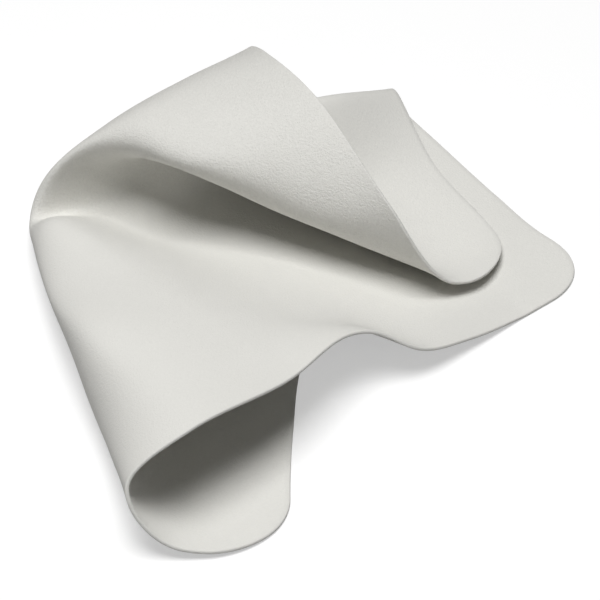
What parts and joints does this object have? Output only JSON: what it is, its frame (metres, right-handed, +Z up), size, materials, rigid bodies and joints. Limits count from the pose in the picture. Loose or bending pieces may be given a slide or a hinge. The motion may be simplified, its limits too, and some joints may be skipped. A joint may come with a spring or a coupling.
{
  "type": "lens cleaning cloth",
  "caption": "Thin suede microfibre cloth with rounded corners, loosely folded in quarters, for wiping lenses and screens.",
  "frame": {"origin": "on the surface that the cloth lies on, under the middle of its folded outline", "axes": "+Z up from that surface; +Y away from the viewer, towards the open fold; +X to the viewer's right"},
  "size_m": [0.1148, 0.1506, 0.0352],
  "materials": {
    "cloth": "matt suede microfibre, warm pale grey"
  },
  "bodies": {
    "root": {"cloth": "cloth"}
  },
  "joints": []
}
